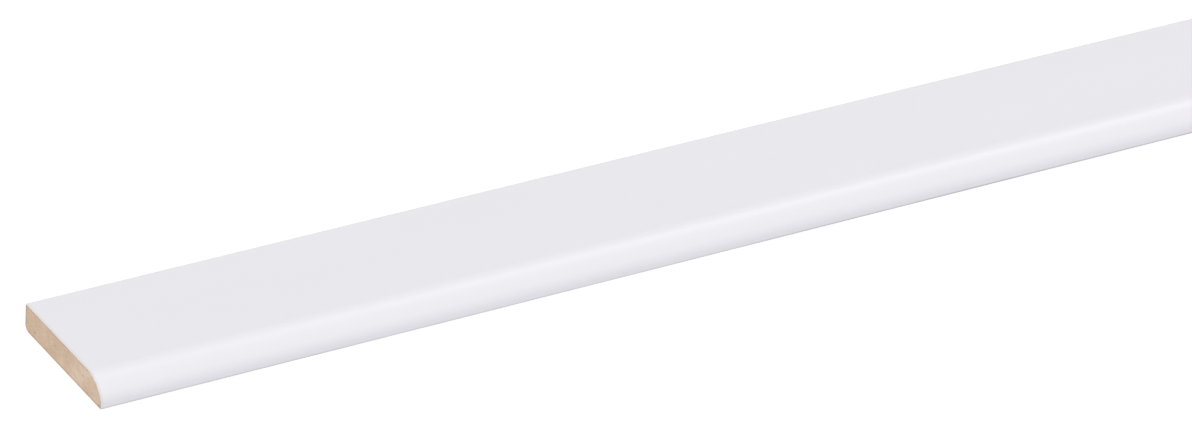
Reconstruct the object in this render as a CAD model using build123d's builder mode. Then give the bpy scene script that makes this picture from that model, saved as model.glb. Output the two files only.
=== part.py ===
from build123d import *

import os

# A skirting board: a moulded length of MDF, wrapped in white decor foil on every long face but
# the one that is glued to the wall. It lies on that glue face, in millimetres.
# X runs along the board, and the origin is the middle of the glue face. The rounded nose, which
# is the top edge on the wall, is towards -Y, and the square edge that meets the floor is
# towards +Y.

# The board as it is sold
board_length = 2400.0
board_height = 50.0
board_thickness = 9.0

# The nose: a flat land at the front, then one large arc up and back to the show face
nose_land = 3.1
nose_depth = 7.5
nose_radius = 12.5

# Where the faces meet, measured outside the foil
show_face_blend = 7.5
land_blend = 5.0
floor_edge_radius = 0.4
glue_arris_radius = 2.0

foil_thickness = 0.25

# Places in the section, which is drawn with Y across and Z up
nose_front = -board_height / 2
nose_back = nose_front + nose_depth
floor_edge = board_height / 2

# The bare strip of MDF between the two edges of the foil, where the glue goes
glue_strip_front = nose_front + foil_thickness
glue_strip_back = floor_edge - glue_arris_radius
glue_strip_width = glue_strip_back - glue_strip_front


def round_corner(y, z, radius):
    """Rounds the corner of the open sketch that is nearest to a point."""
    fillet(vertices().sort_by_distance((y, z))[0], radius)


# The outside of the foil, closed along the glue face
with BuildSketch(Plane.YZ) as wrapped_section:
    with BuildLine():
        Polyline(
            (nose_front, nose_land),
            (nose_front, 0),
            (floor_edge, 0),
            (floor_edge, board_thickness),
            (nose_back, board_thickness),
        )
        RadiusArc((nose_back, board_thickness), (nose_front, nose_land), -nose_radius)
    make_face()
    round_corner(nose_back, board_thickness, show_face_blend)
    round_corner(nose_front, nose_land, land_blend)
    round_corner(floor_edge, board_thickness, floor_edge_radius)
    round_corner(floor_edge, 0, glue_arris_radius)

# The core is that section less the foil, and it comes down to the glue face between the foil's
# two edges, so that board and foil lie flush there.
with BuildPart() as mdf_core:
    with BuildSketch(Plane.YZ):
        add(wrapped_section.sketch_local)
        offset(amount=-foil_thickness, kind=Kind.INTERSECTION)
        with Locations((glue_strip_front, 0)):
            Rectangle(glue_strip_width, foil_thickness, align=(Align.MIN, Align.MIN))
    extrude(amount=board_length / 2, both=True)
mdf_core.part.label = "mdf_core"

# The foil fills what is left. Both it and the core end square at the saw cuts.
with BuildPart() as foil_wrap:
    with BuildSketch(Plane.YZ):
        add(wrapped_section.sketch_local)
    extrude(amount=board_length / 2, both=True)
    add(mdf_core.part, mode=Mode.SUBTRACT)
foil_wrap.part.label = "foil_wrap"

os.makedirs("parts", exist_ok=True)
export_step(mdf_core.part, "parts/mdf_core.step")
export_step(foil_wrap.part, "parts/foil_wrap.step")
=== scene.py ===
"""Studio scene of one length of foil-wrapped MDF skirting board, lying on its glue face.

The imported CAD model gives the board's length, height and thickness. Its two nodes are stood for
by finer meshes of the same size: the MDF core with its sawn ends, and the white decor foil that
is wrapped round it. All places are in metres, in the frame of the CAD model: X runs along the
board, the rounded nose is towards -Y, the floor edge towards +Y, and the glue face is at Z = 0.
"""

import logging
import math
from collections.abc import Callable
from dataclasses import dataclass, field
from enum import Enum

import bmesh
import bpy
from mathutils import Matrix, Vector


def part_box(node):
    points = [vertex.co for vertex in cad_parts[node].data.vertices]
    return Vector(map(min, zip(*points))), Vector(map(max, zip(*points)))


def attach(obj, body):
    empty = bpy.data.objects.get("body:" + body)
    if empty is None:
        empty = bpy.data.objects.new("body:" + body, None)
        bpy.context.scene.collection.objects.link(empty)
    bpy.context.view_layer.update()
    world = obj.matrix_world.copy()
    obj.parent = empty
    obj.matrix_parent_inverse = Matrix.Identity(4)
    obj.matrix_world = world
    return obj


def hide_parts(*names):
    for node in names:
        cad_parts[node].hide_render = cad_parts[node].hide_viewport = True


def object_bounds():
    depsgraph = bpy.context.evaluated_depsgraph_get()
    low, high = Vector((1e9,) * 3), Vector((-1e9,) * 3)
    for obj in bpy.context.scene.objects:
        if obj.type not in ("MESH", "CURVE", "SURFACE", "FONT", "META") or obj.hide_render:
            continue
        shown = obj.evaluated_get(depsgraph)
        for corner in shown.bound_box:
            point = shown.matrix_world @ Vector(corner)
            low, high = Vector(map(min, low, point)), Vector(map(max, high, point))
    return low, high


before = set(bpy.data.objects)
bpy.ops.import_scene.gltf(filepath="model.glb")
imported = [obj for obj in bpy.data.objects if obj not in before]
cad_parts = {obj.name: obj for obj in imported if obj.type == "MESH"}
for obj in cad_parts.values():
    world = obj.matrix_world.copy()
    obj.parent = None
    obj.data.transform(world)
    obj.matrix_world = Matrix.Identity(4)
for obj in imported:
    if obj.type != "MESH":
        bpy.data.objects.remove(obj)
cad_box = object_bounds()

log = logging.getLogger("skirting_board")

MM = 0.001
PER_MM = 1000.0
NEAR = 0.001 * MM
ON_EDGE = 0.01 * MM
SMOOTH_BELOW = math.radians(35)
BODY = "root"


class BoardEnd(Enum):
    """The two saw cuts, as seen from the room with the nose up, and the side of X each is on."""

    RIGHT = -1
    LEFT = 1


class MdfCut(Enum):
    """How a face of the core was cut, and the material slot of the core that it wears."""

    MILLED = 0
    SAWN = 1


class FoilFace(Enum):
    """What shows of the foil, and the material slot of the foil that it wears."""

    DECOR = 0
    CUT_EDGE = 1


def linear(hex_colour: str) -> tuple[float, float, float, float]:
    """Turns an sRGB hex colour into the linear colour that a socket takes.

    Args:
        hex_colour: The colour as "#RRGGBB".

    Returns:
        Red, green and blue in linear light, with an alpha of 1.
    """
    channels = [int(hex_colour[i : i + 2], 16) / 255 for i in (1, 3, 5)]
    red, green, blue = (c / 12.92 if c <= 0.04045 else ((c + 0.055) / 1.055) ** 2.4 for c in channels)
    return red, green, blue, 1.0


def bearing(azimuth: float, elevation: float) -> Vector:
    """The direction from the board towards something in the studio.

    Args:
        azimuth: Degrees round the board from its nose side, positive towards its left-hand end.
        elevation: Degrees above the floor.

    Returns:
        The direction, of length 1.
    """
    turn, rise = math.radians(azimuth), math.radians(elevation)
    return Vector((math.sin(turn) * math.cos(rise), -math.cos(turn) * math.cos(rise), math.sin(rise)))


def add_node(
    tree: bpy.types.NodeTree, kind: str, inputs: dict[str | int, object] | None = None, **settings: object
) -> bpy.types.Node:
    """Adds a node with its settings and links.

    Args:
        tree: The node tree that it goes into.
        kind: Blender's name of the node's type.
        inputs: For each input, by name or number, a plain value or the output that feeds it.
        settings: The node's own settings, by name.

    Returns:
        The new node.
    """
    node = tree.nodes.new(kind)
    for name, value in settings.items():
        setattr(node, name, value)
    for key, value in (inputs or {}).items():
        if isinstance(value, bpy.types.NodeSocket):
            tree.links.new(value, node.inputs[key])
        else:
            node.inputs[key].default_value = value
    return node


def new_material(name: str) -> tuple[bpy.types.Material, bpy.types.NodeTree]:
    """Makes an empty node material.

    Args:
        name: The material's name.

    Returns:
        The material and its node tree.
    """
    material = bpy.data.materials.new(name)
    material.use_nodes = True
    material.node_tree.nodes.clear()
    return material, material.node_tree


def place_in_mm(tree: bpy.types.NodeTree) -> bpy.types.NodeSocket:
    """Adds nodes that give the place on the board in millimetres.

    Args:
        tree: The material's node tree.

    Returns:
        The place.
    """
    place = add_node(tree, "ShaderNodeTexCoord")
    in_mm = add_node(
        tree, "ShaderNodeMapping", {"Vector": place.outputs["Object"], "Scale": (PER_MM,) * 3}
    )
    return in_mm.outputs["Vector"]


@dataclass(frozen=True)
class Bend:
    """A round stretch of a section: a turn about a centre, positive towards the nose.

    The turn and the steps that it is made in are in degrees.
    """

    centre: tuple[float, float]
    turn: float
    step: float


@dataclass(frozen=True)
class Run:
    """A straight stretch of a section, down to a height, in steps of about the given size."""

    down_to: float
    step: float


@dataclass(frozen=True)
class Section:
    """The outline of the moulding across its length, at some depth under the outside of the foil.

    The nose is a land at the front and one large arc up and back, with a blend at each end. Its
    cells on the flat are in metres, and its steps on the round are in degrees.
    """

    front: float
    back: float
    top: float
    inset: float = 0.0
    nose_land: float = 3.1 * MM
    nose_depth: float = 7.5 * MM
    nose_radius: float = 12.5 * MM
    show_face_blend: float = 7.5 * MM
    land_blend: float = 5.0 * MM
    foot_radius: float = 0.25 * MM
    floor_edge_radius: float = 0.4 * MM
    glue_arris_radius: float = 2.0 * MM
    cell: float = 0.3 * MM
    nose_step: float = 1.5
    blend_step: float = 3.0
    arris_step: float = 6.0
    corner_step: float = 15.0

    def nose_centre(self) -> tuple[float, float]:
        """The centre of the large arc, which passes through the land's top and the face's front.

        Returns:
            Its place across the board and its height.
        """
        land = Vector((self.front, self.nose_land))
        face = Vector((self.front + self.nose_depth, self.top))
        chord = face - land
        rise = math.sqrt(self.nose_radius**2 - chord.length_squared / 4)
        centre = (land + face) / 2 + Vector((chord.y, -chord.x)).normalized() * rise
        return centre.x, centre.y

    def show_blend_centre(self) -> tuple[float, float]:
        """The centre of the blend between the show face and the large arc.

        Returns:
            Its place across the board and its height.
        """
        y, z = self.nose_centre()
        centre_z = self.top - self.show_face_blend
        reach = math.sqrt((self.nose_radius - self.show_face_blend) ** 2 - (centre_z - z) ** 2)
        return y - reach, centre_z

    def land_blend_centre(self) -> tuple[float, float]:
        """The centre of the blend between the large arc and the land.

        Returns:
            Its place across the board and its height.
        """
        y, z = self.nose_centre()
        centre_y = self.front + self.land_blend
        rise = math.sqrt((self.nose_radius - self.land_blend) ** 2 - (centre_y - y) ** 2)
        return centre_y, z + rise

    def tilt(self, centre: tuple[float, float]) -> float:
        """How far from upright the nose leans, in degrees, where a blend meets the large arc."""
        y, z = self.nose_centre()
        return math.degrees(math.atan2(y - centre[0], centre[1] - z))

    def front_of_show_face(self) -> float:
        """Where the flat show face begins."""
        return self.show_blend_centre()[0]

    def back_of_show_face(self) -> float:
        """Where the flat show face ends."""
        return self.back - self.floor_edge_radius

    def height(self) -> float:
        """The height of the show face at this depth."""
        return self.top - self.inset

    def front_path(self) -> list[Bend | Run]:
        """From the show face over the nose and down the land to the foil's front edge.

        Returns:
            The bends and the straight run, in order.
        """
        show, land = self.show_blend_centre(), self.land_blend_centre()
        foot = (self.front + self.foot_radius, self.foot_radius)
        return [
            Bend(show, self.tilt(show), self.blend_step),
            Bend(self.nose_centre(), self.tilt(land) - self.tilt(show), self.nose_step),
            Bend(land, 90 - self.tilt(land), self.blend_step),
            Run(self.foot_radius, self.cell),
            Bend(foot, 90, self.corner_step),
        ]

    def back_path(self) -> list[Bend | Run]:
        """From the show face down the floor edge and round the arris to the foil's back edge.

        Returns:
            The bends and the straight run, in order.
        """
        edge = (self.back_of_show_face(), self.top - self.floor_edge_radius)
        arris = (self.back - self.glue_arris_radius, self.glue_arris_radius)
        return [
            Bend(edge, -90, self.corner_step),
            Run(self.glue_arris_radius, self.cell),
            Bend(arris, -90, self.arris_step),
        ]


class SweptSheet:
    """A sheet as long as the board, that starts as the show face and is swept down both sides."""

    def __init__(self, name: str, section: Section, half_length: float) -> None:
        """Starts the sheet as a strip of narrow cells on the show face.

        Args:
            name: The piece's name.
            section: The outline that it follows.
            half_length: Half the board's length.
        """
        self.section = section
        self.half_length = half_length
        front, back = section.front_of_show_face(), section.back_of_show_face()
        bpy.ops.object.select_all(action="DESELECT")
        bpy.ops.mesh.primitive_grid_add(
            x_subdivisions=1,
            y_subdivisions=round((back - front) / section.cell),
            size=1,
            location=(0, (front + back) / 2, section.height()),
        )
        self.piece = bpy.context.object
        self.piece.name = name
        self.piece.data.name = name
        bpy.ops.object.mode_set(mode="EDIT")
        bpy.ops.transform.resize(value=(2 * half_length, back - front, 1))
        bpy.ops.object.mode_set(mode="OBJECT")
        bpy.ops.object.transform_apply(location=True, rotation=True, scale=True)
        bpy.ops.object.mode_set(mode="EDIT")

    def select_edges(self, wanted: Callable[[Vector, Vector], bool]) -> None:
        """Selects the edges whose two ends pass a test, and nothing else.

        Args:
            wanted: Says of an edge's two ends whether the edge is wanted.
        """
        bpy.ops.mesh.select_all(action="DESELECT")
        mesh = bmesh.from_edit_mesh(self.piece.data)
        for edge in mesh.edges:
            if wanted(edge.verts[0].co, edge.verts[1].co):
                edge.select_set(True)
        bmesh.update_edit_mesh(self.piece.data)

    def select_long_edge(self, y: float, z: float) -> None:
        """Selects the edges that run along the board at one place of the section.

        Args:
            y: The place across the board.
            z: The height.
        """
        place = Vector((0, y, z))

        def is_there(start: Vector, end: Vector) -> bool:
            """Whether both ends lie at the place."""
            return all((Vector((0, p.y, p.z)) - place).length < ON_EDGE for p in (start, end))

        self.select_edges(is_there)

    def follow(self, y: float, z: float, path: list[Bend | Run]) -> tuple[float, float]:
        """Extrudes the long edge at a place of the section along a path.

        Args:
            y: The edge's place across the board.
            z: The edge's height.
            path: The bends and straight runs that it follows.

        Returns:
            Where the path ends.
        """
        for stretch in path:
            self.select_long_edge(y, z)
            if isinstance(stretch, Bend):
                turn = math.radians(stretch.turn)
                bpy.ops.mesh.spin(
                    steps=max(1, round(abs(stretch.turn) / stretch.step)),
                    angle=-turn,
                    center=(0, *stretch.centre),
                    axis=(1, 0, 0),
                )
                arm = Matrix.Rotation(turn, 2) @ Vector((y - stretch.centre[0], z - stretch.centre[1]))
                y, z = stretch.centre[0] + arm.x, stretch.centre[1] + arm.y
            else:
                count = max(1, round((z - stretch.down_to) / stretch.step))
                down = (stretch.down_to - z) / count
                for _ in range(count):
                    bpy.ops.mesh.extrude_region_move(TRANSFORM_OT_translate={"value": (0, 0, down)})
                z = stretch.down_to
        return y, z

    def sweep(self) -> tuple[tuple[float, float], tuple[float, float]]:
        """Sweeps the sheet down the nose and down the floor edge.

        Returns:
            Where the front and the back of the sheet end.
        """
        section = self.section
        front = self.follow(section.front_of_show_face(), section.height(), section.front_path())
        back = self.follow(section.back_of_show_face(), section.height(), section.back_path())
        return front, back

    def cut_across(self, places: list[float]) -> None:
        """Cuts the sheet across, so that it has a row of vertices at each place.

        Args:
            places: The places along the board.
        """
        for x in places:
            bpy.ops.mesh.select_all(action="SELECT")
            bpy.ops.mesh.bisect(plane_co=(x, 0, 0), plane_no=(1, 0, 0))

    def close_up(self) -> None:
        """Merges doubles and turns the faces outwards."""
        bpy.ops.mesh.select_all(action="SELECT")
        bpy.ops.mesh.remove_doubles(threshold=NEAR)
        bpy.ops.mesh.normals_make_consistent(inside=False)
        mesh = bmesh.from_edit_mesh(self.piece.data)
        show_face = max(mesh.faces, key=lambda face: face.calc_center_median().z)
        if show_face.normal.z < 0:
            bpy.ops.mesh.flip_normals()

    def wear_end(self, end: BoardEnd, depth: float, grain: float, weights: dict[int, float]) -> None:
        """Wears vertices back from the saw cut by an uneven depth, which is never outwards.

        Args:
            end: The saw cut.
            depth: The deepest that a vertex of full weight goes.
            grain: The size of the unevenness.
            weights: The vertices' weights, by number.
        """
        label = f"{self.piece.name}_{end.name.lower()}"
        group = self.piece.vertex_groups.new(name=label)
        for index, weight in weights.items():
            group.add([index], weight, "REPLACE")
        texture = bpy.data.textures.new(label, "CLOUDS")
        texture.noise_scale = grain
        texture.noise_depth = 2
        displace = self.piece.modifiers.new(label, "DISPLACE")
        displace.texture = texture
        displace.texture_coords = "LOCAL"
        displace.direction = "X"
        displace.mid_level = 0
        displace.strength = -end.value * depth
        displace.vertex_group = label
        bpy.ops.object.modifier_apply(modifier=label)

    def ride(self, node: str) -> None:
        """Puts the piece in the place of a CAD node and reports it.

        Args:
            node: The CAD node.
        """
        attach(self.piece, BODY)
        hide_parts(node)
        faces = len(self.piece.data.polygons)
        log.info("%s stands for %s with %d faces", self.piece.name, node, faces)


@dataclass(frozen=True)
class DecorFoilFinish:
    """Decor foil of white plastic film, calendered smooth and given a satin emboss.

    Its low, even sheen shows as a soft light band where the nose turns, with no sharp glint.
    The film follows the MDF under it, so the band wavers a little along the board. Where the film
    ends at the glue face, a thin grey line of uneven strength is painted along its foot: painted
    shade where the film meets the floor, with some glue and dust. A trace of sawdust clings to the
    film beside the saw cuts. Sizes are in millimetres.
    """

    colour: str = "#EAE9EE"
    shade: str = "#E8E7EC"
    tone_size: float = 18.0
    stretch_along: float = 5.0
    # A grey line painted along the film's foot: painted shade where it meets the floor, with some glue
    # and dust
    glue_and_foot_shade: str = "#BDBBBF"
    glue_and_foot_shade_height: float = 0.75
    glue_and_foot_shade_blur: float = 0.5
    glue_and_foot_shade_rise: tuple[float, float] = (0.25, 0.6)
    sawdust: str = "#DCC3B4"
    sawdust_reach: float = 1.0
    sawdust_strength: float = 0.5
    # The denoiser takes a surface for a mirror below 0.274, so the sheen drifts above that only
    roughness: float = 0.292
    roughness_drift: float = 0.015
    ior: float = 1.5
    # The real emboss, under 0.2 mm, is too fine to show, so it is drawn as coarse as it has to be
    emboss_pitch: float = 0.5
    emboss_depth: float = 0.006
    telegraph_pitch: float = 7.0
    telegraph_depth: float = 0.02

    def material(self) -> bpy.types.Material:
        """Builds the node material.

        Returns:
            The material.
        """
        made, tree = new_material("white_decor_foil_satin_embossed")
        place = place_in_mm(tree)
        drawn_out = add_node(
            tree, "ShaderNodeMapping", {"Vector": place, "Scale": (1 / self.stretch_along, 1.0, 1.0)}
        ).outputs["Vector"]
        tone = add_node(
            tree, "ShaderNodeTexNoise", {"Vector": drawn_out, "Scale": 1 / self.tone_size, "Detail": 3.0}
        ).outputs[0]
        sheen = add_node(
            tree,
            "ShaderNodeMapRange",
            {
                "Value": tone,
                "To Min": self.roughness - self.roughness_drift,
                "To Max": self.roughness + self.roughness_drift,
            },
        )
        shader = add_node(
            tree,
            "ShaderNodeBsdfPrincipled",
            {
                "Base Color": self.film_colour(tree, place, tone),
                "Roughness": sheen.outputs["Result"],
                "IOR": self.ior,
                "Normal": self.relief(tree, place, drawn_out),
            },
        )
        add_node(tree, "ShaderNodeOutputMaterial", {"Surface": shader.outputs["BSDF"]})
        return made

    def film_colour(
        self, tree: bpy.types.NodeTree, place: bpy.types.NodeSocket, tone: bpy.types.NodeSocket
    ) -> bpy.types.NodeSocket:
        """Adds the film's slow drift of tone, a foot line of painted shade and glue, and sawdust at its
        ends.

        Args:
            tree: The material's node tree.
            place: The place in millimetres.
            tone: The drift, from 0 to 1.

        Returns:
            The colour.
        """
        film = add_node(
            tree,
            "ShaderNodeMix",
            {0: tone, 6: linear(self.shade), 7: linear(self.colour)},
            data_type="RGBA",
        )
        where = add_node(tree, "ShaderNodeSeparateXYZ", {"Vector": place})
        # Darker towards the foot: painted shade where the film meets the floor, with some glue and dust
        near_foot = add_node(
            tree,
            "ShaderNodeMapRange",
            {
                "Value": where.outputs["Z"],
                "From Min": self.glue_and_foot_shade_height,
                "From Max": self.glue_and_foot_shade_height - self.glue_and_foot_shade_blur,
            },
        )
        bare, full = self.glue_and_foot_shade_rise
        uneven = add_node(tree, "ShaderNodeMapRange", {"Value": tone, "From Min": bare, "From Max": full})
        soiled_and_shaded = add_node(
            tree,
            "ShaderNodeMath",
            {0: near_foot.outputs["Result"], 1: uneven.outputs["Result"]},
            operation="MULTIPLY",
        )
        lined = add_node(
            tree,
            "ShaderNodeMix",
            {0: soiled_and_shaded.outputs[0], 6: film.outputs[2], 7: linear(self.glue_and_foot_shade)},
            data_type="RGBA",
        )
        from_middle = add_node(tree, "ShaderNodeMath", {0: where.outputs["X"]}, operation="ABSOLUTE")
        saw_cut = cad_box[1][0] * PER_MM
        near_saw_cut = add_node(
            tree,
            "ShaderNodeMapRange",
            {
                "Value": from_middle.outputs[0],
                "From Min": saw_cut - self.sawdust_reach,
                "From Max": saw_cut,
                "To Max": self.sawdust_strength,
            },
        )
        dusted = add_node(
            tree,
            "ShaderNodeMix",
            {0: near_saw_cut.outputs["Result"], 6: lined.outputs[2], 7: linear(self.sawdust)},
            data_type="RGBA",
        )
        return dusted.outputs[2]

    def relief(
        self, tree: bpy.types.NodeTree, place: bpy.types.NodeSocket, drawn_out: bpy.types.NodeSocket
    ) -> bpy.types.NodeSocket:
        """Adds the emboss, on the soft waves of the MDF that show through the film.

        Args:
            tree: The material's node tree.
            place: The place in millimetres.
            drawn_out: The place in millimetres, drawn out along the board.

        Returns:
            The surface's normal.
        """
        telegraph = add_node(
            tree,
            "ShaderNodeTexNoise",
            {"Vector": drawn_out, "Scale": 1 / self.telegraph_pitch, "Detail": 2.0},
        )
        waves = add_node(
            tree,
            "ShaderNodeBump",
            {"Height": telegraph.outputs[0], "Distance": self.telegraph_depth * MM},
        )
        emboss = add_node(
            tree, "ShaderNodeTexNoise", {"Vector": place, "Scale": 1 / self.emboss_pitch, "Detail": 1.0}
        )
        grain = add_node(
            tree,
            "ShaderNodeBump",
            {
                "Height": emboss.outputs[0],
                "Distance": self.emboss_depth * MM,
                "Normal": waves.outputs["Normal"],
            },
        )
        return grain.outputs["Normal"]


@dataclass(frozen=True)
class FoilCutEdgeFinish:
    """The film's edge where a saw or a slitting knife went through it.

    It is the same plastic without the emboss, torn matt, with a trace of tan glue and dust. Sizes
    are in millimetres.
    """

    colour: str = "#EDE9E4"
    dust: str = "#D9CBBB"
    dust_rise: tuple[float, float] = (0.5, 0.75)
    fleck_size: float = 0.6
    torn_depth: float = 0.03
    roughness: float = 0.7

    def material(self) -> bpy.types.Material:
        """Builds the node material.

        Returns:
            The material.
        """
        made, tree = new_material("white_decor_foil_cut_edge")
        flecks = add_node(
            tree,
            "ShaderNodeTexNoise",
            {"Vector": place_in_mm(tree), "Scale": 1 / self.fleck_size, "Detail": 2.0},
        )
        bare, full = self.dust_rise
        dusting = add_node(
            tree, "ShaderNodeMapRange", {"Value": flecks.outputs[0], "From Min": bare, "From Max": full}
        )
        colour = add_node(
            tree,
            "ShaderNodeMix",
            {0: dusting.outputs["Result"], 6: linear(self.colour), 7: linear(self.dust)},
            data_type="RGBA",
        )
        torn = add_node(
            tree, "ShaderNodeBump", {"Height": flecks.outputs[0], "Distance": self.torn_depth * MM}
        )
        shader = add_node(
            tree,
            "ShaderNodeBsdfPrincipled",
            {
                "Base Color": colour.outputs[2],
                "Roughness": self.roughness,
                "Normal": torn.outputs["Normal"],
            },
        )
        add_node(tree, "ShaderNodeOutputMaterial", {"Surface": shader.outputs["BSDF"]})
        return made


@dataclass(frozen=True)
class Mottle:
    """Patches of one colour in another, that come in where a noise passes through a range.

    Their size is in millimetres.
    """

    size: float
    rise: tuple[float, float]
    strength: float = 1.0
    detail: float = 1.0

    def lay(
        self,
        tree: bpy.types.NodeTree,
        place: bpy.types.NodeSocket,
        seed: float,
        under: bpy.types.NodeSocket | tuple[float, float, float, float],
        colour: str,
    ) -> bpy.types.NodeSocket:
        """Adds the patches over a colour.

        Args:
            tree: The material's node tree.
            place: The place in millimetres.
            seed: Which pattern of all that the noise can give.
            under: The colour that they lie in.
            colour: Their own colour.

        Returns:
            The two colours together.
        """
        noise = add_node(
            tree,
            "ShaderNodeTexNoise",
            {"Vector": place, "W": seed, "Scale": 1 / self.size, "Detail": self.detail},
            noise_dimensions="4D",
        )
        bare, full = self.rise
        share = add_node(
            tree,
            "ShaderNodeMapRange",
            {"Value": noise.outputs[0], "From Min": bare, "From Max": full, "To Max": self.strength},
        )
        mixed = add_node(
            tree,
            "ShaderNodeMix",
            {0: share.outputs["Result"], 6: under, 7: linear(colour)},
            data_type="RGBA",
        )
        return mixed.outputs[2]


@dataclass(frozen=True)
class MdfFinish:
    """Medium-density fibreboard: wood fibre pressed flat in layers, tan with darker bark specks.

    A saw cut across it shows the layers from their edges. They are soft and pale in the middle, and
    denser and darker round the outline, where the glue has soaked in, with short streaks along the
    board's height. Along the glue face that darker grey is also painted shade, where the saw cut
    meets the floor. A milled face shows the fibres lying flat, finer and paler. Sizes are in
    millimetres.
    """

    cut: MdfCut
    # Which board of all that could be pressed: the seed of its patterns
    pressing: float = 57.0
    colour: str = "#D0BBA6"
    warm: str = "#C3A991"
    drift: Mottle = Mottle(size=9.0, rise=(0.4, 0.62))
    shade: str = "#C0A78E"
    patches: Mottle = Mottle(size=2.4, rise=(0.6, 0.35), strength=0.6, detail=2.0)
    speck: str = "#93745A"
    specks: Mottle = Mottle(size=1.5, rise=(0.66, 0.76), strength=0.75)
    # Darker grey of the denser outer layers, and along the glue face also painted shade where the cut
    # meets the floor
    dense_and_shade: str = "#9A8F86"
    dense_and_shade_depth: float = 0.8
    dense_and_shade_strength: float = 0.8
    edge_depth: float = 1.6
    nose_strength: float = 0.4
    # Real fibres, under 0.1 mm thick, are too thin to show, so they are drawn as bundles
    pale_fibre: str = "#DBCAB7"
    fibre_width: float = 0.45
    sawn_stretch: float = 4.0
    milled_stretch: float = 2.0
    fibre_rise: tuple[float, float] = (0.5, 0.75)
    fibre_strength: float = 0.45
    sawn_relief: float = 0.1
    milled_relief: float = 0.03
    roughness: float = 0.85

    def material(self) -> bpy.types.Material:
        """Builds the node material.

        Returns:
            The material.
        """
        sawn = self.cut is MdfCut.SAWN
        made, tree = new_material("mdf_sawn_end" if sawn else "mdf_milled_face")
        place = place_in_mm(tree)
        fibres = self.fibres(tree, place)
        bare, full = self.fibre_rise
        pale = add_node(
            tree,
            "ShaderNodeMapRange",
            {"Value": fibres, "From Min": bare, "From Max": full, "To Max": self.fibre_strength},
        )
        felted = add_node(
            tree,
            "ShaderNodeMix",
            {0: pale.outputs["Result"], 6: self.ground(tree, place), 7: linear(self.pale_fibre)},
            data_type="RGBA",
        )
        colour = self.specks.lay(tree, place, self.pressing, felted.outputs[2], self.speck)
        depth = self.sawn_relief if sawn else self.milled_relief
        rough = add_node(tree, "ShaderNodeBump", {"Height": fibres, "Distance": depth * MM})
        shader = add_node(
            tree,
            "ShaderNodeBsdfPrincipled",
            {"Base Color": colour, "Roughness": self.roughness, "Normal": rough.outputs["Normal"]},
        )
        add_node(tree, "ShaderNodeOutputMaterial", {"Surface": shader.outputs["BSDF"]})
        return made

    def fibres(self, tree: bpy.types.NodeTree, place: bpy.types.NodeSocket) -> bpy.types.NodeSocket:
        """Adds the fibres: along the board's height in a saw cut, and every way in a milled face.

        Args:
            tree: The material's node tree.
            place: The place in millimetres.

        Returns:
            The fibres' pattern, from 0 to 1.
        """
        if self.cut is MdfCut.SAWN:
            streaks = (1.0, 1 / self.sawn_stretch, 1.0)
        else:
            streaks = (1 / self.milled_stretch, 1 / self.milled_stretch, 1.0)
        drawn_out = add_node(tree, "ShaderNodeMapping", {"Vector": place, "Scale": streaks})
        noise = add_node(
            tree,
            "ShaderNodeTexNoise",
            {
                "Vector": drawn_out.outputs["Vector"],
                "Scale": 1 / self.fibre_width,
                "Detail": 3.0,
                "Roughness": 0.6,
            },
        )
        return noise.outputs[0]

    def ground(self, tree: bpy.types.NodeTree, place: bpy.types.NodeSocket) -> bpy.types.NodeSocket:
        """Adds the felted ground: a slow drift of warmth, soft patches and a saw cut's outline.

        Args:
            tree: The material's node tree.
            place: The place in millimetres.

        Returns:
            The ground's colour.
        """
        slow = self.drift.lay(tree, place, self.pressing, linear(self.warm), self.colour)
        mottled = self.patches.lay(tree, place, self.pressing, slow, self.shade)
        if self.cut is MdfCut.MILLED:
            return mottled
        dense_and_shaded = add_node(
            tree,
            "ShaderNodeMix",
            {0: self.outline(tree, place), 6: mottled, 7: linear(self.dense_and_shade)},
            data_type="RGBA",
        )
        return dense_and_shaded.outputs[2]

    def outline(self, tree: bpy.types.NodeTree, place: bpy.types.NodeSocket) -> bpy.types.NodeSocket:
        """Adds nodes that rise from 0 inside the board to the strength of the outline on each side.

        Args:
            tree: The material's node tree.
            place: The place in millimetres.

        Returns:
            The strongest of the four sides.
        """
        where = add_node(tree, "ShaderNodeSeparateXYZ", {"Vector": place})
        low, high = (Vector(corner) * PER_MM for corner in cad_box)
        # The glue-face side is denser fibre and also painted shade where the saw cut meets the floor
        sides = (
            ("Z", low.z, self.dense_and_shade_depth, self.dense_and_shade_strength),
            ("Z", high.z, -self.dense_and_shade_depth, self.dense_and_shade_strength),
            ("Y", low.y, self.edge_depth, self.nose_strength),
            ("Y", high.y, -self.edge_depth, self.dense_and_shade_strength),
        )
        strongest = 0.0
        for axis, face, inwards, strength in sides:
            side = add_node(
                tree,
                "ShaderNodeMapRange",
                {
                    "Value": where.outputs[axis],
                    "From Min": face + inwards,
                    "From Max": face,
                    "To Max": strength,
                },
            )
            joined = add_node(
                tree, "ShaderNodeMath", {0: strongest, 1: side.outputs["Result"]}, operation="MAXIMUM"
            )
            strongest = joined.outputs[0]
        return strongest


def rows_near_ends(half_length: float, depths: tuple[float, ...]) -> list[float]:
    """Places along the board at some depths behind both saw cuts.

    Args:
        half_length: Half the board's length.
        depths: The distances from a saw cut.

    Returns:
        The places, from both ends.
    """
    return [end.value * (half_length - depth) for end in BoardEnd for depth in depths]


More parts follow.
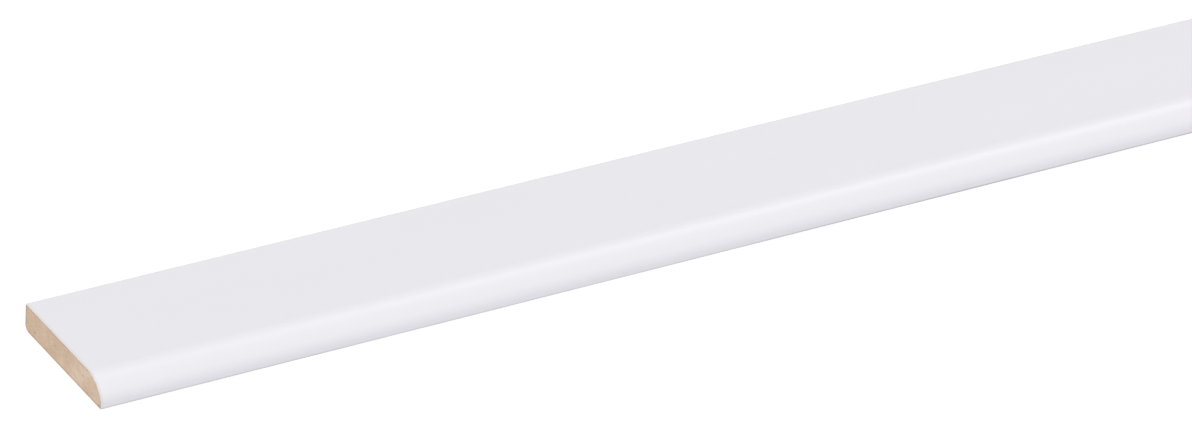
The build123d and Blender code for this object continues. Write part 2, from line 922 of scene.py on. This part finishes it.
@dataclass
class DecorFoil:
    """The white foil: one strip of film wrapped round every long face but the glue face."""

    section: Section
    half_length: float
    thickness: float = 0.25 * MM
    chip_depth: float = 0.2 * MM
    chip_size: float = 0.8 * MM
    end_rows: tuple[float, ...] = (0.2 * MM, 0.5 * MM, 1.2 * MM, 3.0 * MM)
    decor: DecorFoilFinish = field(default_factory=DecorFoilFinish)
    cut_edge: FoilCutEdgeFinish = field(default_factory=FoilCutEdgeFinish)

    def build(self) -> None:
        """Models the foil and dresses it."""
        sheet = SweptSheet("decor_foil", self.section, self.half_length)
        sheet.sweep()
        sheet.cut_across(rows_near_ends(self.half_length, self.end_rows))
        sheet.close_up()
        bpy.ops.object.mode_set(mode="OBJECT")
        self.chip_ends(sheet)
        piece = sheet.piece
        for finish in (self.decor, self.cut_edge):
            piece.data.materials.append(finish.material())
        wall = piece.modifiers.new("film", "SOLIDIFY")
        wall.thickness = self.thickness
        wall.offset = -1
        wall.use_even_offset = True
        wall.material_offset_rim = FoilFace.CUT_EDGE.value
        bpy.ops.object.modifier_apply(modifier=wall.name)
        bpy.ops.object.shade_smooth_by_angle(angle=SMOOTH_BELOW)
        sheet.ride("foil_wrap")

    def chip_ends(self, sheet: SweptSheet) -> None:
        """Nibbles the film back unevenly where the saw went through it.

        Args:
            sheet: The film, before it has its thickness.
        """
        for end in BoardEnd:
            saw_cut = end.value * self.half_length
            on_cut = {v.index: 1.0 for v in sheet.piece.data.vertices if abs(v.co.x - saw_cut) < NEAR}
            sheet.wear_end(end, self.chip_depth, self.chip_size, on_cut)


@dataclass(frozen=True)
class CoreLayout:
    """How the core is laid out flat on a square map.

    Blender's own layout fits the board's length to the map, and a saw cut comes out a few dots wide.
    Here the two saw cuts lie side by side along the top, at about ten dots to the millimetre. The
    glue face is folded into strips below them, and the faces under the foil lie in between. The
    sizes on the map are shares of its side.
    """

    section: Section
    half_length: float
    strips: int = 6
    strip_step: float = 0.12
    strip_height: float = 0.115
    hidden_foot: float = 0.74
    hidden_height: float = 0.13
    saw_cut_foot: float = 0.9
    saw_cut_height: float = 0.088
    saw_cut_width: float = 0.49
    saw_cut_step: float = 0.5
    margin: float = 0.005

    def folds(self) -> list[float]:
        """The places along the board where the glue face is folded."""
        return [self.half_length * (2 * i / self.strips - 1) for i in range(1, self.strips)]

    def across(self, corner: Vector) -> float:
        """The share of the board's height between the nose and a place."""
        return (corner.y - self.section.front) / (self.section.back - self.section.front)

    def on_saw_cut(self, corner: Vector) -> tuple[float, float]:
        """Where a corner of a sawn face lies on the map.

        Args:
            corner: The corner.

        Returns:
            Its place on the map.
        """
        start = self.saw_cut_step if corner.x > 0 else 0.0
        thickness_share = corner.z / self.section.top
        return (
            self.margin + start + self.across(corner) * self.saw_cut_width,
            self.saw_cut_foot + thickness_share * self.saw_cut_height,
        )

    def on_glue_face(self, middle: float, corner: Vector) -> tuple[float, float]:
        """Where a corner of a part of the glue face lies on the map.

        Args:
            middle: The place along the board of the part's middle, which picks its strip.
            corner: The corner.

        Returns:
            Its place on the map.
        """
        strip_length = 2 * self.half_length / self.strips
        strip = math.floor((middle + self.half_length) / strip_length)
        along = (corner.x + self.half_length) / strip_length - strip
        return (
            self.margin + along * (1 - 2 * self.margin),
            strip * self.strip_step + self.across(corner) * self.strip_height,
        )

    def under_foil(self, corner: Vector) -> tuple[float, float]:
        """Where a corner of a face under the foil lies on the map, by its angle round the section.

        Args:
            corner: The corner.

        Returns:
            Its place on the map.
        """
        angle = math.atan2(corner.y, corner.z - self.section.top / 2)
        along = (corner.x / self.half_length + 1) / 2
        return (
            self.margin + along * (1 - 2 * self.margin),
            self.hidden_foot + (angle / math.tau + 0.5) * self.hidden_height,
        )

    def place(self, face: bpy.types.MeshPolygon, corner: Vector) -> tuple[float, float]:
        """Where a corner of any face of the core lies on the map.

        Args:
            face: The face.
            corner: The corner.

        Returns:
            Its place on the map.
        """
        if face.material_index == MdfCut.SAWN.value:
            return self.on_saw_cut(corner)
        if face.center.z < NEAR:
            return self.on_glue_face(face.center.x, corner)
        return self.under_foil(corner)

    def lay_out(self, piece: bpy.types.Object) -> None:
        """Adds the map to the core under the name that the export looks for.

        Args:
            piece: The core, with its finishes on its faces.
        """
        mesh = piece.data
        flat = mesh.uv_layers.new(name="OFBake")
        for face in mesh.polygons:
            for loop in face.loop_indices:
                corner = mesh.vertices[mesh.loops[loop].vertex_index].co
                flat.data[loop].uv = self.place(face, corner)


@dataclass
class MdfCore:
    """The MDF moulding under the foil, bare on its glue face and at its two sawn ends."""

    section: Section
    half_length: float
    cell: float = 0.25 * MM
    torn_depth: float = 0.2 * MM
    torn_size: float = 0.5 * MM
    rim_share: float = 0.25
    # A face is sawn where its normal points at least this much along the board
    end_facing: float = 0.9
    end_rows: tuple[float, ...] = (0.5 * MM, 2.0 * MM)
    milled: MdfFinish = field(default_factory=lambda: MdfFinish(MdfCut.MILLED))
    sawn: MdfFinish = field(default_factory=lambda: MdfFinish(MdfCut.SAWN))

    def build(self) -> None:
        """Models the core and dresses it."""
        solid = SweptSheet("mdf_moulding", self.section, self.half_length)
        ends = solid.sweep()
        self.close_glue_face(solid, ends)
        self.close_saw_cuts(solid)
        layout = CoreLayout(self.section, self.half_length)
        solid.cut_across(rows_near_ends(self.half_length, self.end_rows) + layout.folds())
        self.grid_saw_cuts()
        solid.close_up()
        bpy.ops.object.mode_set(mode="OBJECT")
        piece = solid.piece
        for finish in (self.milled, self.sawn):
            piece.data.materials.append(finish.material())
        for face in piece.data.polygons:
            sawn = abs(face.normal.x) > self.end_facing
            face.material_index = (MdfCut.SAWN if sawn else MdfCut.MILLED).value
        self.tear_ends(solid)
        layout.lay_out(piece)
        bpy.ops.object.shade_smooth_by_angle(angle=SMOOTH_BELOW)
        solid.ride("mdf_core")

    def close_glue_face(self, solid: SweptSheet, ends: tuple[tuple[float, float], ...]) -> None:
        """Brings both edges of the sheet down to the glue face, flush with the foil, and joins them.

        Args:
            solid: The sheet, swept down both sides.
            ends: The places of its two long edges in the section.
        """
        for y, z in ends:
            solid.select_long_edge(y, z)
            bpy.ops.mesh.extrude_region_move(TRANSFORM_OT_translate={"value": (0, 0, -z)})

        def on_glue_face(start: Vector, end: Vector) -> bool:
            """Whether an edge runs along the board at the glue face."""
            return max(start.z, end.z) < NEAR and abs(start.x - end.x) > self.half_length

        solid.select_edges(on_glue_face)
        bpy.ops.mesh.bridge_edge_loops()

    def close_saw_cuts(self, solid: SweptSheet) -> None:
        """Fills the section at both ends.

        Args:
            solid: The tube of long faces.
        """
        for board_end in BoardEnd:
            saw_cut = board_end.value * self.half_length

            def on_cut(start: Vector, end: Vector) -> bool:
                """Whether both ends of an edge lie in the saw cut."""
                return max(abs(start.x - saw_cut), abs(end.x - saw_cut)) < NEAR

            solid.select_edges(on_cut)
            bpy.ops.mesh.edge_face_add()

    def grid_saw_cuts(self) -> None:
        """Cuts the solid along its height and its thickness, so that both saw cuts become a grid."""
        section = self.section
        columns = math.floor((section.back - section.front) / self.cell)
        layers = math.floor(section.top / self.cell)
        planes = [((0, section.front + i * self.cell, 0), (0, 1, 0)) for i in range(1, columns)]
        planes += [((0, 0, i * self.cell), (0, 0, 1)) for i in range(1, layers)]
        for place, normal in planes:
            bpy.ops.mesh.select_all(action="SELECT")
            bpy.ops.mesh.bisect(plane_co=place, plane_no=normal)

    def tear_ends(self, solid: SweptSheet) -> None:
        """Roughens the saw cuts, where the teeth tore fibres out, less so along the outline.

        Args:
            solid: The closed core, with its finishes on its faces.
        """
        mesh = solid.piece.data
        on_rim = set()
        for face in mesh.polygons:
            if face.material_index == MdfCut.MILLED.value:
                on_rim.update(face.vertices)
        for end in BoardEnd:
            saw_cut = end.value * self.half_length
            weights = {
                v.index: self.rim_share if v.index in on_rim else 1.0
                for v in mesh.vertices
                if abs(v.co.x - saw_cut) < NEAR
            }
            solid.wear_end(end, self.torn_depth, self.torn_size, weights)


def background_to_the_eye(tree: bpy.types.NodeTree) -> bpy.types.NodeSocket:
    """Adds nodes that give 1 to a ray that shows the background, and 0 to one that lights by it.

    Args:
        tree: The node tree.

    Returns:
        The 1 or the 0.
    """
    path = add_node(tree, "ShaderNodeLightPath")
    seen = path.outputs["Is Camera Ray"]
    for ray in ("Is Glossy Ray", "Is Transmission Ray"):
        either = add_node(tree, "ShaderNodeMath", {0: seen, 1: path.outputs[ray]}, operation="MAXIMUM")
        seen = either.outputs[0]
    return seen


@dataclass(frozen=True)
class SoftLamp:
    """A large soft lamp far away, so that it lights the whole board alike.

    A low lamp can be kept out of the foil's sheen, which would mirror it towards the far end of the
    board and bleach the show face there.
    """

    name: str
    azimuth: float
    elevation: float
    spread: float
    brightness: float
    colour: str = "#FFFFFF"
    mirrored: bool = True
    stand_off: float = 3.0

    def build(self) -> None:
        """Adds the lamp. Its brightness is what it adds to a white card that faces it."""
        from_board = bearing(self.azimuth, self.elevation)
        bpy.ops.object.light_add(type="SUN", location=from_board * self.stand_off)
        lamp = bpy.context.object
        lamp.name = self.name
        lamp.rotation_euler = from_board.to_track_quat("Z", "Y").to_euler()
        lamp.data.energy = self.brightness * math.pi
        lamp.data.angle = math.radians(self.spread)
        lamp.data.color = linear(self.colour)[:3]
        lamp.visible_glossy = self.mirrored


@dataclass(frozen=True)
class Studio:
    """A plain pale floor under a white surround, lit by an overhead, a front and a side lamp."""

    floor_size: float = 90.0
    floor_gap: float = 0.05 * MM
    floor_colour: str = "#CDCDCF"
    floor_glow: float = 0.525
    surround: str = "#FFFFFF"
    ambient: str = "#C4C4C4"
    lamps: tuple[SoftLamp, ...] = (
        SoftLamp("overhead_lamp", azimuth=88, elevation=59, spread=12, brightness=0.05),
        SoftLamp("front_lamp", azimuth=-22, elevation=40, spread=60, brightness=0.342),
        SoftLamp("side_lamp", azimuth=-90, elevation=20, spread=60, brightness=0.465, mirrored=False),
    )

    def build(self) -> None:
        """Adds the floor, the surround and the lamps."""
        bpy.ops.object.select_all(action="DESELECT")
        bpy.ops.mesh.primitive_plane_add(size=self.floor_size, location=(0, 0, -self.floor_gap))
        floor = bpy.context.object
        floor.name = "studio_floor"
        floor.data.materials.append(self.floor_material())
        self.build_surround()
        for lamp in self.lamps:
            lamp.build()

    def floor_material(self) -> bpy.types.Material:
        """Pale paper that the eye sees as white and that keeps the board's shadow.

        Returns:
            The material.
        """
        made, tree = new_material("studio_paper")
        paper = add_node(tree, "ShaderNodeBsdfDiffuse", {"Color": linear(self.floor_colour)})
        glow = add_node(
            tree, "ShaderNodeEmission", {"Color": linear(self.surround), "Strength": self.floor_glow}
        )
        shown = add_node(tree, "ShaderNodeAddShader", {0: paper.outputs[0], 1: glow.outputs[0]})
        mixed = add_node(
            tree,
            "ShaderNodeMixShader",
            {0: background_to_the_eye(tree), 1: paper.outputs[0], 2: shown.outputs[0]},
        )
        add_node(tree, "ShaderNodeOutputMaterial", {"Surface": mixed.outputs[0]})
        return made

    def build_surround(self) -> None:
        """White to the eye, and a plain dimmer light to the board."""
        world = bpy.context.scene.world or bpy.data.worlds.new("studio")
        bpy.context.scene.world = world
        world.use_nodes = True
        tree = world.node_tree
        tree.nodes.clear()
        seen = add_node(tree, "ShaderNodeBackground", {"Color": linear(self.surround), "Strength": 1.0})
        light = add_node(tree, "ShaderNodeBackground", {"Color": linear(self.ambient), "Strength": 1.0})
        mixed = add_node(
            tree,
            "ShaderNodeMixShader",
            {0: background_to_the_eye(tree), 1: light.outputs[0], 2: seen.outputs[0]},
        )
        add_node(tree, "ShaderNodeOutputWorld", {"Surface": mixed.outputs[0]})


@dataclass(frozen=True)
class PhotoCamera:
    """A long lens that looks along the board from the front and above, at its right-hand end."""

    aim: tuple[float, float, float] = (-1018.996 * MM, -3.393 * MM, 9.0 * MM)
    azimuth: float = -32.2993
    elevation: float = 30.5394
    roll: float = 3.8536
    distance: float = 2210.809 * MM
    lens: float = 217.421
    sensor: float = 36.0
    nearest: float = 0.1
    furthest: float = 200.0

    def build(self) -> None:
        """Adds the camera and makes it the scene's own."""
        turn = math.radians(self.azimuth)
        back = bearing(self.azimuth, self.elevation)
        right = Vector((math.cos(turn), math.sin(turn), 0))
        axes = Matrix((right, back.cross(right), back)).transposed()
        rolled = axes @ Matrix.Rotation(math.radians(self.roll), 3, "Z")
        bpy.ops.object.camera_add(location=Vector(self.aim) + back * self.distance)
        camera = bpy.context.object
        camera.name = "photo_camera"
        camera.rotation_euler = rolled.to_euler()
        camera.data.lens = self.lens
        camera.data.sensor_fit = "HORIZONTAL"
        camera.data.sensor_width = self.sensor
        camera.data.clip_start = self.nearest
        camera.data.clip_end = self.furthest
        bpy.context.scene.camera = camera


def main() -> None:
    """Builds the board's pieces, the studio and the camera."""
    logging.basicConfig(level=logging.INFO, format="%(name)s: %(message)s")
    low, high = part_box("foil_wrap")
    half_length = (high.x - low.x) / 2
    outside = Section(front=low.y, back=high.y, top=high.z)
    foil = DecorFoil(outside, half_length)
    foil.build()
    core_section = Section(front=low.y, back=high.y, top=high.z, inset=foil.thickness)
    MdfCore(core_section, half_length).build()
    Studio().build()
    PhotoCamera().build()
    bpy.context.scene.view_settings.view_transform = "Standard"


if __name__ == "__main__":
    main()
